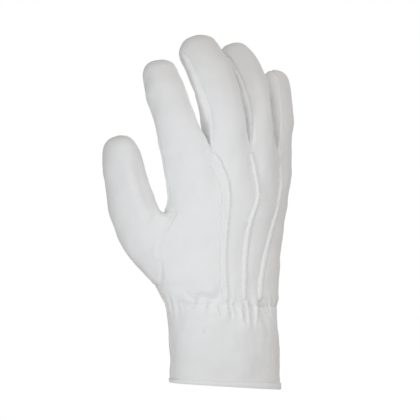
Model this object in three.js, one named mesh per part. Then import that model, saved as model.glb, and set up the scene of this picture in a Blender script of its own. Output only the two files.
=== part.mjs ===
// A right-hand dress glove of white cotton jersey, in the form that a hand gives it.
// Units are millimetres. +Z runs from the cuff to the fingers, the back of the hand faces -Y,
// the thumb is at -X and the little finger at +X. The origin is the centre of the cuff's mouth.
//
// The whole outer surface is one net of quads: rings round the palm, rings round each finger and
// the thumb, and a short line across the hand at each crotch, which two fingers share. Each sewn
// piece is a patch of that net, thickened inwards to a wall, with a small gap along every seam.
import * as THREE from "three";

const wall = 1.2; // the jersey and its seam allowance
const crotchWall = 0.45; // the wall tapers to this at the ends of a crotch
const seamGap = 0.6; // between two sewn pieces
const foldLimit = 0.62; // the sharpest fold that widens a gap in full
const jerseyWhite = 0xe9eaec;
const threadWhite = 0xf2f2f0;
const elasticWhite = 0xdcdcda;

// How many quads each finger has across its back, and each side strip between back and palm.
const fingerNames = ["index", "middle", "ring", "little"];
const acrossFinger = [8, 7, 6, 5];
const acrossSide = 4;
const halfSide = acrossSide / 2;
// The columns of quads at the edges between fingers, from the index finger's outer side.
const edgeColumns = acrossFinger.reduce((edges, n) => [...edges, edges.at(-1) + n], [halfSide]);
const sideToSide = edgeColumns.at(-1) + halfSide;
const aroundPalm = 2 * sideToSide;

// Sections of the hand and cuff, from the hem up. indexX, indexY and littleX, littleY are the two
// edges, arch is how far the middle rises towards the back, and halfDepth is half the thickness.
const handSections = [
  { z: 0, indexX: -39.8, indexY: 0, littleX: 39.3, littleY: 0, arch: 0, halfDepth: 22.5 },
  { z: 25, indexX: -40.3, indexY: 0, littleX: 38.5, littleY: 0, arch: 0, halfDepth: 22.5 },
  { z: 45, indexX: -41.8, indexY: 0, littleX: 38.0, littleY: 1, arch: 1, halfDepth: 21.5 },
  { z: 56, indexX: -44.3, indexY: 1, littleX: 38.0, littleY: 3, arch: 2, halfDepth: 20 },
  { z: 70, indexX: -49.5, indexY: 4, littleX: 40.5, littleY: 6, arch: 4, halfDepth: 19 },
  { z: 86, indexX: -56.0, indexY: 7, littleX: 43.5, littleY: 9, arch: 6, halfDepth: 18 },
  { z: 102, indexX: -56.0, indexY: 8, littleX: 46.5, littleY: 13, arch: 8, halfDepth: 17 },
  { z: 114, indexX: -49.0, indexY: 6.5, littleX: 48.8, littleY: 15.5, arch: 9, halfDepth: 16.5 },
  { z: 124, indexX: -41.0, indexY: 5, littleX: 50.8, littleY: 17.5, arch: 9.5, halfDepth: 16.5 },
  { z: 140, indexX: -41.0, indexY: 5, littleX: 54.3, littleY: 20, arch: 10, halfDepth: 16.5 },
  { z: 164, indexX: -45.6, indexY: 5, littleX: 57.5, littleY: 23, arch: 11, halfDepth: 15.5 },
];
// The index finger's edge without the swelling of the hand towards the thumb.
const straightIndexEdge = [
  { z: 0, x: -39.8 },
  { z: 56, x: -44.3 },
  { z: 124, x: -41.0 },
  { z: 164, x: -45.6 },
];
const edgeRoundness = 0.72; // below 1 the section's edges are fuller than an ellipse's

// Heights of the rings of quads round the cuff and hand. The rings from thumbRowStart to
// thumbRowEnd bound the hole that the thumb is set into.
const cuffRings = [1.6, 17, 32, 44, 49.5, 53, 56, 59, 63];
const thumbRings = [68, 78, 88, 99, 110, 120.5];
const knuckleRings = [129, 139, 149, 158];
const thumbRowStart = cuffRings.length;
const thumbRowEnd = thumbRowStart + thumbRings.length - 1;
const thumbColumnsBack = 3; // columns of the hole on the back of the hand
const thumbColumnsPalm = 5; // and on its palm

// The row of the crotches: how far round the back each one lies, from 0 at the index finger's
// outer edge to 1 at the little finger's, and its height.
const crotchRow = [
  { column: 0, share: 0, z: 160 },
  { column: edgeColumns[0], share: 0.07, z: 161 },
  { column: edgeColumns[1], share: 0.305, z: 165.5 },
  { column: edgeColumns[2], share: 0.55, z: 168.5 },
  { column: edgeColumns[3], share: 0.785, z: 160.5 },
  { column: edgeColumns[4], share: 0.94, z: 155 },
  { column: sideToSide, share: 1, z: 153 },
];
const crotchColumns = edgeColumns.slice(1, -1);
const crotchRingZ = 164; // where the top ring's spacing is counted to
const crotchDip = 1.2; // how far the line across a crotch sags between back and palm
const fanStart = 84; // the columns spread from the wrist's spacing to the fingers' over this length
const fanLength = 62;
const swellFirstColumn = 2; // the columns that spread out over the swelling towards the thumb
const swellColumns = 5;

// The groove below each crotch, on the back and on the palm.
const valley = { back: { depth: 2.6, width: 5.5 }, palm: { depth: 2.1, width: 7.2 } };
const valleyLength = 26;
const columnPitch = 3.7;
const farBelow = 200; // so far below the crotches that the grooves have run out

// Gathers that the elastic pulls into the wrist, higher and lower by turns.
const elasticZ = 56;
const elasticPull = 0.8;
const gatherHeight = 0.4;
const gatherReachUp = 4.5;
const gatherReachDown = 6;
const unevenness = [
  { share: 0.45, perColumn: 1.7, start: 0 },
  { share: 0.25, perColumn: 0.61, start: 1 },
];

// Finger centrelines, from the crotches to the start of the round tip. facing is the turn of the
// finger's back about +Z, away from -Y.
const fingerForms = {
  index: {
    facing: -10,
    tipLength: 12,
    sections: [
      { x: -28.6, y: 2.5, z: 163, halfWidth: 16.4, halfDepth: 15.2 },
      { x: -34.0, y: 3.0, z: 179, halfWidth: 15.2, halfDepth: 14.4 },
      { x: -38.8, y: 6.0, z: 195, halfWidth: 14.4, halfDepth: 13.6 },
      { x: -42.4, y: 10.5, z: 209, halfWidth: 13.8, halfDepth: 13.0 },
      { x: -43.6, y: 13.0, z: 215.5, halfWidth: 13.2, halfDepth: 12.4 },
    ],
  },
  middle: {
    facing: -3,
    tipLength: 13,
    sections: [
      { x: 2.0, y: -4.0, z: 165, halfWidth: 15.8, halfDepth: 15.4 },
      { x: -0.6, y: -2.5, z: 181, halfWidth: 15.9, halfDepth: 15.0 },
      { x: -3.9, y: 2.5, z: 201, halfWidth: 15.9, halfDepth: 14.4 },
      { x: -8.8, y: 10.0, z: 221, halfWidth: 15.4, halfDepth: 13.6 },
      { x: -13.6, y: 15.5, z: 232.5, halfWidth: 14.8, halfDepth: 12.6 },
    ],
  },
  ring: {
    facing: 14,
    tipLength: 12,
    sections: [
      { x: 26.2, y: 4.0, z: 164, halfWidth: 13.2, halfDepth: 14.6 },
      { x: 26.8, y: 6.2, z: 181, halfWidth: 12.7, halfDepth: 13.7 },
      { x: 26.2, y: 13.0, z: 200, halfWidth: 13.2, halfDepth: 13.6 },
      { x: 22.3, y: 21.0, z: 218, halfWidth: 13.2, halfDepth: 13.0 },
      { x: 17.4, y: 26.0, z: 229, halfWidth: 13.0, halfDepth: 12.4 },
    ],
  },
  little: {
    facing: 34,
    tipLength: 11,
    sections: [
      { x: 47.0, y: 16.5, z: 157, halfWidth: 10.7, halfDepth: 12.6 },
      { x: 47.9, y: 20.0, z: 173, halfWidth: 10.2, halfDepth: 12.0 },
      { x: 48.2, y: 24.2, z: 189, halfWidth: 10.4, halfDepth: 11.6 },
      { x: 49.0, y: 29.0, z: 204, halfWidth: 11.0, halfDepth: 11.2 },
      { x: 49.8, y: 32.0, z: 211, halfWidth: 10.8, halfDepth: 10.8 },
    ],
  },
};
const tubeRoundness = 0.9; // below 1 a section of a finger or thumb is fuller than an ellipse
const tipFullness = 0.8; // below 1 a tip is blunter than a ball
const ringSpacing = 1.1; // above 1 the rings of a finger lie closer together at its base
const fingerRingCount = 7; // rings between the crotch row and the start of the tip
const tipRingAngles = [28, 52, 72]; // degrees round the tip, before its last point
const baseBlend = 34; // length over which the palm's form turns into a round finger
const sideStripAngle = 42; // half the angle that a side strip covers at the crotch
const sideStripTip = 32; // and at the far end of a fourchette

// The thumb, from its seam to the start of its tip, by the outer edge and the edge next to the
// hand. The first row is the hole in the hand.
const thumbSections = [
  { step: 0, outX: -48, outY: 5, outZ: 68, inX: -41, inY: 6, inZ: 120, halfDepth: 18 },
  { step: 1, outX: -56.4, outY: 13, outZ: 78, inX: -42.4, inY: 9, inZ: 120, halfDepth: 19.5 },
  { step: 2, outX: -64.6, outY: 18, outZ: 87.5, inX: -44.8, inY: 9.5, inZ: 122.5, halfDepth: 19.5 },
  { step: 3, outX: -70.8, outY: 22, outZ: 98.5, inX: -48.2, inY: 9.5, inZ: 129, halfDepth: 18.4 },
  { step: 4, outX: -75.0, outY: 25, outZ: 112, inX: -51.4, inY: 9.5, inZ: 136.5, halfDepth: 17 },
  { step: 5, outX: -77.6, outY: 26.5, outZ: 127, inX: -54.4, inY: 9.5, inZ: 143, halfDepth: 15.8 },
  { step: 6, outX: -79.4, outY: 28, outZ: 143, inX: -56.8, inY: 10, inZ: 151, halfDepth: 14.8 },
  { step: 7, outX: -80.8, outY: 28, outZ: 160, inX: -60.2, inY: 12, inZ: 163, halfDepth: 13.8 },
];
const thumbTipLength = 13.5;
const thumbFirstAngle = 60; // where round the thumb its ring starts, from the side next to the hand
const thumbBlend = 4.5; // steps over which the hole's form turns into a round thumb

// The three points, each a narrow tuck sewn into the back from a crotch to the wrist, by places
// seen from the back.
const backPoints = [
  {
    name: "back_point_1",
    width: 3.8,
    route: [
      { x: -11.8, z: 159.5 },
      { x: -8.6, z: 152 },
      { x: -5.0, z: 142 },
      { x: -3.2, z: 129 },
      { x: -5.0, z: 104 },
      { x: -7.2, z: 78 },
      { x: -6.8, z: 61 },
    ],
  },
  {
    name: "back_point_2",
    width: 2.6,
    route: [
      { x: 16.2, z: 161 },
      { x: 18.6, z: 148 },
      { x: 20.2, z: 132 },
      { x: 14.6, z: 115 },
      { x: 10.6, z: 95 },
      { x: 8.4, z: 78 },
      { x: 6.8, z: 62 },
    ],
  },
  {
    name: "back_point_3",
    width: 2.6,
    route: [
      { x: 42.6, z: 152 },
      { x: 41.4, z: 135 },
      { x: 34.0, z: 111 },
      { x: 27.4, z: 91 },
      { x: 23.4, z: 74 },
      { x: 21.0, z: 62 },
    ],
  },
];
const pointHeight = 1.5;
const pointShoulder = 0.55; // height of a tuck's sides, as a share of its middle's
const pointLift = 0.7; // of its underside above the back
const pointSteps = 18;
const pointEnd = 0.45; // height at its ends, as a share of the full height
const pointEndRise = 0.3; // and how much of it each further step adds

const hemHeight = 4; // the turned and overlocked edge of the cuff
const hemFloor = 1.2; // thickness below the wall's edge
const hemCloth = 0.5; // thickness of its turned cloth on each side of the wall
const hemGap = 0.35;
const hemSlope = 0.072; // fall of the hem towards the little finger
const slopeStart = 20; // above this the slope fades out
const slopeFade = 80;
const elasticWidth = 5;
const elasticThick = 0.8;

const clamp01 = (t) => Math.min(1, Math.max(0, t));
const mix = (a, b, t) => a + (b - a) * t;
const smoothStep = (t) => clamp01(t) ** 2 * (3 - 2 * clamp01(t));
const radians = THREE.MathUtils.degToRad;

// A smooth value of every column of a table at one place, by a Catmull-Rom curve that keeps to
// uneven steps.
function smoothRow(table, key, at) {
  const last = table.length - 1;
  const found = table.findIndex((row) => row[key] > at);
  const i = Math.min(last - 1, Math.max(0, (found < 0 ? last : found) - 1));
  const [p, q] = [table[i], table[i + 1]];
  const span = q[key] - p[key];
  const t = clamp01((at - p[key]) / span);
  const slope = (k, column) => {
    const before = table[Math.max(0, k - 1)];
    const after = table[Math.min(last, k + 1)];
    return ((after[column] - before[column]) / (after[key] - before[key])) * span;
  };
  const row = {};
  for (const column of Object.keys(p)) {
    const rise = q[column] - p[column];
    const start = slope(i, column);
    const end = slope(i + 1, column);
    row[column] =
      p[column] + t * (start + t * (3 * rise - 2 * start - end + t * (start + end - 2 * rise)));
  }
  return row;
}

// One side of a section, the back (side 1) or the palm (side -1), as points at even angles.
const sectionSteps = 90;
function sectionSide(section, side) {
  const edge = new THREE.Vector2(section.littleX - section.indexX, section.littleY - section.indexY);
  const towardsBack = new THREE.Vector2(edge.y, -edge.x).normalize();
  return Array.from({ length: sectionSteps + 1 }, (_, k) => {
    const angle = (Math.PI * k) / sectionSteps;
    const share = (1 - Math.cos(angle)) / 2;
    const rise =
      section.arch * 4 * share * (1 - share) +
      side * section.halfDepth * Math.sin(angle) ** edgeRoundness;
    return new THREE.Vector2(
      section.indexX + edge.x * share + towardsBack.x * rise,
      section.indexY + edge.y * share + towardsBack.y * rise,
    );
  });
}

// The point a given share of the way along a polyline.
function alongLine(points, share) {
  const reach = [0];
  points.slice(1).forEach((p, k) => reach.push(reach[k] + p.distanceTo(points[k])));
  const wanted = share * reach.at(-1);
  const k = Math.max(1, reach.findIndex((r) => r >= wanted - 1e-9));
  const t = (wanted - reach[k - 1]) / (reach[k] - reach[k - 1]);
  return points[k - 1].clone().lerp(points[k], t);
}

// How the columns of quads are spread round the hand: evenly at the wrist, and by finger at the top.
function columnShare(column, z) {
  const fingers = crotchRow.findIndex((row) => row.column >= column);
  const q = crotchRow[Math.max(1, fingers)];
  const p = crotchRow[Math.max(1, fingers) - 1];
  const t = (column - p.column) / (q.column - p.column);
  return mix(column / sideToSide, mix(p.share, q.share, t), smoothStep((z - fanStart) / fanLength));
}

// The same where the hand swells towards the thumb: only the columns by the thumb spread out.
function swollenShare(column, z, section) {
  const share = columnShare(column, z);
  const straightX = smoothRow(straightIndexEdge, "z", z).x;
  const swelling = Math.max(0, straightX - section.indexX) / (section.littleX - section.indexX);
  return mix(share, mix(share, 1, swelling), smoothStep((column - swellFirstColumn) / swellColumns));
}

const crotchHeight = (column) => smoothRow(crotchRow, "column", column).z;

// The small in-and-out of the gathers, for a column at a height.
function gather(column, z) {
  const above = z - elasticZ;
  const reach = above > 0 ? gatherReachUp : gatherReachDown;
  const fade = Math.exp(-((above / reach) ** 2));
  const uneven = unevenness.reduce(
    (sum, wave) => sum + wave.share * Math.sin(column * wave.perColumn + wave.start),
    1,
  );
  return fade * (gatherHeight * uneven * (column % 2 ? 1 : -1) - elasticPull);
}

// A point of the net round the cuff and hand. column runs from the index finger's outer edge over
// the back to the little finger's outer edge at sideToSide, and on round the palm.
function handPoint(column, z, belowCrotch = farBelow) {
  const onBack = column <= sideToSide;
  const mirrored = onBack ? column : aroundPalm - column;
  const section = smoothRow(handSections, "z", z);
  const flat = alongLine(sectionSide(section, onBack ? 1 : -1), swollenShare(mirrored, z, section));
  const centre = new THREE.Vector2(
    (section.indexX + section.littleX) / 2,
    (section.indexY + section.littleY) / 2,
  );
  const outward = flat.clone().sub(centre);
  const halfBreadth = (section.littleX - section.indexX) / 2;
  outward.set(outward.x / halfBreadth, outward.y / section.halfDepth).normalize();
  const { depth, width } = onBack ? valley.back : valley.palm;
  let push = gather(column, z);
  for (const crotch of crotchColumns) {
    const across = (mirrored - crotch) * columnPitch;
    push -= depth * Math.exp(-((across / width) ** 2) - (belowCrotch / valleyLength) ** 2);
  }
  flat.addScaledVector(outward, push);
  const slope = -hemSlope * flat.x * (1 - smoothStep((z - slopeStart) / slopeFade));
  return new THREE.Vector3(flat.x, flat.y, z + slope);
}

// A cross-section from its centre, the direction across it to the little finger's side and the
// direction of the tube.
function crossSection(centre, across, along, halfWidth, halfDepth) {
  const back = across.clone().cross(along).normalize();
  const axis = back.clone().cross(across).normalize();
  return { centre, across, back, axis, halfWidth, halfDepth };
}

// The section of a finger at z.
function fingerSection(form, z) {
  const step = 0.5;
  const [row, low, high] = [z, z - step, z + step].map((at) => smoothRow(form.sections, "z", at));
  const along = new THREE.Vector3(high.x - low.x, high.y - low.y, high.z - low.z).normalize();
  const turn = radians(form.facing);
  const across = new THREE.Vector3(Math.cos(turn), Math.sin(turn), 0);
  across.addScaledVector(along, -across.dot(along)).normalize();
  return crossSection(new THREE.Vector3(row.x, row.y, row.z), across, along, row.halfWidth, row.halfDepth);
}

// The section of the thumb at a step of its table.
function thumbSection(step) {
  const edgesAt = (at) => {
    const row = smoothRow(thumbSections, "step", at);
    const outer = new THREE.Vector3(row.outX, row.outY, row.outZ);
    const inner = new THREE.Vector3(row.inX, row.inY, row.inZ);
    return { row, outer, inner, centre: outer.clone().lerp(inner, 0.5) };
  };
  const { row, outer, inner, centre } = edgesAt(step);
  const nearby = 0.25;
  const along = edgesAt(step + nearby).centre.sub(edgesAt(step - nearby).centre).normalize();
  const across = inner.clone().sub(outer).normalize();
  return crossSection(centre, across, along, inner.distanceTo(outer) / 2, row.halfDepth);
}

// One point round a section. angle 0 is the little finger's side, 90 the back.
function roundPoint(section, angle, scale, forward) {
  const [c, s] = [Math.cos(radians(angle)), Math.sin(radians(angle))];
  const wide = Math.sign(c) * Math.abs(c) ** tubeRoundness * section.halfWidth * scale;
  const deep = Math.sign(s) * Math.abs(s) ** tubeRoundness * section.halfDepth * scale;
  return section.centre
    .clone()
    .addScaledVector(section.across, wide)
    .addScaledVector(section.back, deep)
    .addScaledVector(section.axis, forward);
}

// The net: points and quads, each quad with the sewn piece that it belongs to.
const net = { points: [], faces: [] };
const addPoint = (p) => net.points.push(p) - 1;
function addFace(piece, corners) {
  const kept = corners.filter((c, k) => corners.indexOf(c) === k);
  net.faces.push({ piece, corners: kept });
}

// A closed band of quads between two rings of points. A quad goes to one piece, or is cut along
// a diagonal, rising or falling, between the piece above the cut and the piece below it.
// Corners go anticlockwise as seen from outside.
function addBand(lower, upper, pieceOf) {
  lower.forEach((_, k) => {
    const n = (k + 1) % lower.length;
    const [above, below, cut] = pieceOf(k) ?? [];
    if (!above) return;
    if (!below) {
      addFace(above, [lower[k], lower[n], upper[n], upper[k]]);
    } else if (cut === "rising") {
      addFace(above, [lower[k], upper[n], upper[k]]);
      addFace(below, [lower[k], lower[n], upper[n]]);
    } else {
      addFace(above, [upper[k], lower[n], upper[n]]);
      addFace(below, [lower[k], lower[n], upper[k]]);
    }
  });
}

// Cuff and hand.
const ringHeights = [...cuffRings, ...thumbRings, ...knuckleRings];
const knuckleStart = thumbRings.at(-1);
const topHeight = (column) => crotchHeight(column <= sideToSide ? column : aroundPalm - column);
const handRings = [...ringHeights, crotchRingZ].map((z) =>
  Array.from({ length: aroundPalm }, (_, column) => {
    const share = clamp01((z - knuckleStart) / (crotchRingZ - knuckleStart));
    const height = z > knuckleStart ? mix(knuckleStart, topHeight(column), share) : z;
    return addPoint(handPoint(column, height, topHeight(column) - height));
  }),
);
const inThumbHole = (row, column) =>
  row >= thumbRowStart &&
  row < thumbRowEnd &&
  (column < thumbColumnsBack || column >= aroundPalm - thumbColumnsPalm);
handRings.slice(1).forEach((upper, row) => {
  addBand(handRings[row], upper, (column) => {
    if (inThumbHole(row, column)) return null;
    return [column < sideToSide ? "hand_back" : "hand_palm"];
  });
});
const crotchRing = handRings.at(-1);

// The line across each crotch, from the back to the palm, shared by two fingers.
const crotchLines = crotchColumns.map((column) => {
  const [back, palm] = [crotchRing[column], crotchRing[aroundPalm - column]];
  const middle = Array.from({ length: acrossSide - 1 }, (_, k) => {
    const t = (k + 1) / acrossSide;
    const point = net.points[back].clone().lerp(net.points[palm], t);
    point.z -= crotchDip * Math.sin(Math.PI * t);
    return addPoint(point);
  });
  return [back, ...middle, palm];
});

// The angles round a finger of its columns, for a given half angle of the side strips.
function ringAngles(across, strip) {
  const run = (from, to, count) => Array.from({ length: count }, (_, k) => mix(from, to, k / count));
  return [
    ...run(180 - strip, strip, across),
    ...run(strip, -strip, acrossSide),
    ...run(-strip, strip - 180, across),
    ...run(strip - 180, -180 - strip, acrossSide),
  ];
}

// A tube from a ring of net points to its tip. places are where its rings lie, and blend is how
// far the first ring's form carries on into it.
function addTube(tube, firstRing, pieceOf) {
  const { sectionAt, places, anglesAt, blend, tipLength } = tube;
  const base = sectionAt(places[0]);
  const start = firstRing.map((i) => {
    const offset = net.points[i].clone().sub(base.centre);
    return {
      wide: offset.dot(base.across) / base.halfWidth,
      deep: offset.dot(base.back) / base.halfDepth,
      forward: offset.dot(base.axis),
    };
  });
  const rings = [firstRing];
  places.slice(1).forEach((place) => {
    const section = sectionAt(place);
    const share = smoothStep((place - places[0]) / blend);
    const ring = anglesAt(place).map((angle, k) => {
      const carried = section.centre
        .clone()
        .addScaledVector(section.across, start[k].wide * section.halfWidth)
        .addScaledVector(section.back, start[k].deep * section.halfDepth)
        .addScaledVector(section.axis, start[k].forward);
      return addPoint(carried.lerp(roundPoint(section, angle, 1, 0), share));
    });
    rings.push(ring);
  });
  const end = sectionAt(places.at(-1));
  for (const angle of tipRingAngles) {
    const scale = Math.cos(radians(angle)) ** tipFullness;
    const forward = tipLength * Math.sin(radians(angle));
    rings.push(anglesAt(places.at(-1)).map((a) => addPoint(roundPoint(end, a, scale, forward))));
  }
  const tip = addPoint(end.centre.clone().addScaledVector(end.axis, tipLength));
  rings.push(firstRing.map(() => tip));
  rings.slice(1).forEach((upper, row) => {
    addBand(rings[row], upper, (k) => pieceOf(k, row));
  });
}

fingerNames.forEach((name, finger) => {
  const across = acrossFinger[finger];
  const form = fingerForms[name];
  const [firstColumn, lastColumn] = edgeColumns.slice(finger, finger + 2);
  const outerIndex = finger === 0;
  const outerLittle = finger === fingerNames.length - 1;
  const wrap = (column) => crotchRing[(column + aroundPalm) % aroundPalm];
  const run = (from, count) => Array.from({ length: count }, (_, k) => wrap(from + k));
  const rightSide = outerLittle ? run(lastColumn, acrossSide) : crotchLines[finger].slice(0, -1);
  const leftSide = outerIndex
    ? run(aroundPalm - halfSide, acrossSide)
    : [...crotchLines[finger - 1]].reverse().slice(0, -1);
  const ring = [
    ...run(firstColumn, across),
    ...rightSide,
    ...run(aroundPalm - lastColumn, across),
    ...leftSide,
  ];
  const { z: low } = form.sections[0];
  const { z: high } = form.sections.at(-1);
  const heights = Array.from({ length: fingerRingCount + 1 }, (_, k) =>
    mix(low, high, (k / fingerRingCount) ** ringSpacing),
  );
  const anglesAt = (z) =>
    ringAngles(across, mix(sideStripAngle, sideStripTip, clamp01((z - low) / (high - low))));
  const tube = {
    sectionAt: (z) => fingerSection(form, z),
    places: heights,
    anglesAt,
    blend: baseBlend,
    tipLength: form.tipLength,
  };
  addTube(tube, ring, (k, row) => {
    const rightEnd = across + acrossSide;
    const palmEnd = rightEnd + across;
    if (k < across) return ["hand_back"];
    if (k >= rightEnd && k < palmEnd) return ["hand_palm"];
    const onRight = k < rightEnd;
    const along = onRight ? k - across : k - palmEnd;
    const trank = onRight === along < halfSide ? "hand_back" : "hand_palm";
    const outer = (onRight && outerLittle) || (!onRight && outerIndex);
    const strip = `fourchette_${onRight ? finger + 1 : finger}`;
    const taperRow = row - (fingerRingCount - halfSide);
    if (outer || taperRow >= halfSide) return [trank];
    const fromEdge = along < halfSide ? along : acrossSide - 1 - along;
    if (fromEdge === taperRow) return [trank, strip, along < halfSide ? "rising" : "falling"];
    return [fromEdge < taperRow ? trank : strip];
  });
});

// The thumb, set into its hole. Its ring goes round by the palm of the hand, and its angles fall
// as a finger's do.
const holeRing = (() => {
  const at = (row, column) => handRings[row][(column + aroundPalm) % aroundPalm];
  const loop = [];
  const columns = thumbColumnsBack + thumbColumnsPalm;
  for (let k = 0; k < columns; k++) loop.push(at(thumbRowEnd, thumbColumnsBack - k));
  for (let k = thumbRowEnd; k > thumbRowStart; k--) loop.push(at(k, -thumbColumnsPalm));
  for (let k = 0; k < columns; k++) loop.push(at(thumbRowStart, k - thumbColumnsPalm));
  for (let k = thumbRowStart; k < thumbRowEnd; k++) loop.push(at(k, thumbColumnsBack));
  return loop;
})();
const thumbAngles = holeRing.map((_, k) => thumbFirstAngle - (360 * k) / holeRing.length);
const thumbTube = {
  sectionAt: thumbSection,
  places: thumbSections.map((row) => row.step),
  anglesAt: () => thumbAngles,
  blend: thumbBlend,
  tipLength: thumbTipLength,
};
addTube(thumbTube, holeRing, () => ["thumb"]);

// Normals of the net, for the inner side of the walls.
const normals = net.points.map(() => new THREE.Vector3());
for (const { corners } of net.faces) {
  const p = corners.map((c) => net.points[c]);
  const last = p[corners.length - 1];
  const normal = p[2].clone().sub(p[0]).cross(last.clone().sub(p[1]));
  if (corners.length === 3) normal.copy(p[1].clone().sub(p[0]).cross(p[2].clone().sub(p[0])));
  normal.normalize();
  corners.forEach((c) => normals[c].add(normal));
}
normals.forEach((n) => n.normalize());

// At the ends of a crotch the wall goes in below the crotch, not along it.
const crotchEnds = new Set(crotchLines.flatMap((line) => [line[0], line.at(-1)]));
for (const line of crotchLines) {
  normals[line[0]].add(normals[line[1]]).normalize();
  normals[line.at(-1)].add(normals[line.at(-2)]).normalize();
}

// How much wider the gap of a seam is where the net folds sharply across it.
const foldFactor = net.points.map(() => 1);
for (const { corners } of net.faces) {
  const p = corners.map((c) => net.points[c]);
  const flat = new THREE.Triangle(p[0], p[1], p[2]).getNormal(new THREE.Vector3());
  corners.forEach((c) => {
    const facing = Math.max(foldLimit, flat.dot(normals[c]));
    foldFactor[c] = Math.max(foldFactor[c], 1 / facing);
  });
}

// A patch of the net as a closed wall: the outer skin, the inner skin and a rim along its border.
function wallOf(piece) {
  const faces = net.faces.filter((face) => face.piece === piece);
  const edges = new Map();
  const inwards = new Map();
  for (const { corners } of faces) {
    const middle = new THREE.Vector3();
    corners.forEach((c) => middle.addScaledVector(net.points[c], 1 / corners.length));
    corners.forEach((c, k) => {
      const next = corners[(k + 1) % corners.length];
      if (!edges.delete(`${next},${c}`)) edges.set(`${c},${next}`, [c, next]);
      const towards = inwards.get(c) ?? inwards.set(c, new THREE.Vector3()).get(c);
      towards.add(middle.clone().sub(net.points[c]).normalize());
    });
  }
  const border = new Set([...edges.values()].flat());
  const used = [...inwards.keys()];
  const indexOf = new Map(used.map((c, k) => [c, k]));
  const outer = used.map((c) => {
    const point = net.points[c].clone();
    if (!border.has(c)) return point;
    const shift = inwards.get(c).projectOnPlane(normals[c]).normalize();
    return point.addScaledVector(shift, (seamGap / 2) * foldFactor[c]);
  });
  const inner = used.map((c, k) =>
    outer[k].clone().addScaledVector(normals[c], crotchEnds.has(c) ? -crotchWall : -wall),
  );
  const triangles = [];
  const skin = (corners, offset, flip) => {
    for (let k = 1; k + 1 < corners.length; k++) {
      const triangle = [corners[0], corners[k], corners[k + 1]].map((c) => indexOf.get(c) + offset);
      triangles.push(flip ? triangle.reverse() : triangle);
    }
  };
  for (const { corners } of faces) {
    skin(corners, 0, false);
    skin(corners, used.length, true);
  }
  // The two rims of a seam are cut along the same diagonals, so that they stay apart where it twists.
  for (const [a, b] of edges.values()) {
    const [i, j] = [indexOf.get(a), indexOf.get(b)];
    const [innerI, innerJ] = [i + used.length, j + used.length];
    if (a < b) triangles.push([j, i, innerI], [j, innerI, innerJ]);
    else triangles.push([j, i, innerJ], [i, innerI, innerJ]);
  }
  return solidGeometry([...outer, ...inner], triangles);
}

// A mesh from points and triangles of their indexes.
function solidGeometry(points, triangles) {
  const geometry = new THREE.BufferGeometry();
  const positions = points.flatMap((p) => p.toArray());
  geometry.setAttribute("position", new THREE.Float32BufferAttribute(positions, 3));
  geometry.setIndex(triangles.flat());
  geometry.computeVertexNormals();
  return geometry;
}

// A closed ring, or a bar with flat ends, from profiles of equal count. Profiles go clockwise as
// seen along the sweep.
function sweepOf(profiles, closed) {
  const count = profiles[0].length;
  const points = profiles.flat();
  const triangles = [];
  const steps = closed ? profiles.length : profiles.length - 1;
  for (let k = 0; k < steps; k++) {
    for (let i = 0; i < count; i++) {
      const [a, b] = [k * count + i, k * count + ((i + 1) % count)];
      const next = (((k + 1) % profiles.length) - k) * count;
      triangles.push([a, b, b + next], [a, b + next, a + next]);
    }
  }
  if (!closed) {
    const end = (profiles.length - 1) * count;
    for (let i = 1; i + 1 < count; i++) {
      triangles.push([0, i + 1, i], [end, end + i, end + i + 1]);
    }
  }
  return solidGeometry(points, triangles);
}

// The nearest point of the back to the outside, at a place seen from the back.
function backAt(x, z) {
  const found = { y: Infinity };
  for (const { corners, piece } of net.faces) {
    if (piece !== "hand_back") continue;
    for (let k = 1; k + 1 < corners.length; k++) {
      const triangle = new THREE.Triangle(...[0, k, k + 1].map((c) => net.points[corners[c]]));
      const flat = new THREE.Triangle(
        ...["a", "b", "c"].map((c) => new THREE.Vector3(triangle[c].x, 0, triangle[c].z)),
      );
      const weights = flat.getBarycoord(new THREE.Vector3(x, 0, z), new THREE.Vector3());
      if (!weights || Math.min(weights.x, weights.y, weights.z) < -1e-9) continue;
      const y = weights.x * triangle.a.y + weights.y * triangle.b.y + weights.z * triangle.c.y;
      if (y < found.y) Object.assign(found, { y, normal: triangle.getNormal(new THREE.Vector3()) });
    }
  }
  return found;
}

// A point: a low rounded tuck that lies on the back along its route.
function pointTuck({ width, route }) {
  const curve = new THREE.CatmullRomCurve3(route.map(({ x, z }) => new THREE.Vector3(x, 0, z)));
  const profiles = curve.getSpacedPoints(pointSteps).map((p, k) => {
    const tangent = curve.getTangentAt(k / pointSteps);
    const side = new THREE.Vector3(tangent.z, 0, -tangent.x).normalize();
    const { normal } = backAt(p.x, p.z);
    const seat = [-0.5, 0, 0.5].map((share) => {
      const q = p.clone().addScaledVector(side, share * width);
      q.y = backAt(q.x, q.z).y;
      return q.addScaledVector(normal, pointLift);
    });
    const full = Math.min(1, pointEnd + pointEndRise * Math.min(k, pointSteps - k));
    const raise = (q, share) => q.clone().addScaledVector(normal, pointHeight * full * share);
    const top = [raise(seat[0], pointShoulder), raise(seat[1], 1), raise(seat[2], pointShoulder)];
    return [...top, ...seat.reverse()];
  });
  return sweepOf(profiles, false);
}

// A ring that follows the hand's section at a height. Its profile is pairs of how far out of the
// section and how far up each corner lies.
function cuffRing(z, profile, step, hand) {
  const rings = [];
  for (let column = 0; column < aroundPalm; column += step) {
    const place = hand(column, z);
    const ahead = hand((column + 1) % aroundPalm, z);
    const behind = hand((column + aroundPalm - 1) % aroundPalm, z);
    const along = ahead.clone().sub(behind).setZ(0).normalize();
    const outward = new THREE.Vector3(along.y, -along.x, 0);
    rings.push(
      profile.map(([out, up]) => {
        const corner = place.clone().addScaledVector(outward, out);
        return corner.setZ(corner.z + up);
      }),
    );
  }
  return sweepOf(rings, true);
}

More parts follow.
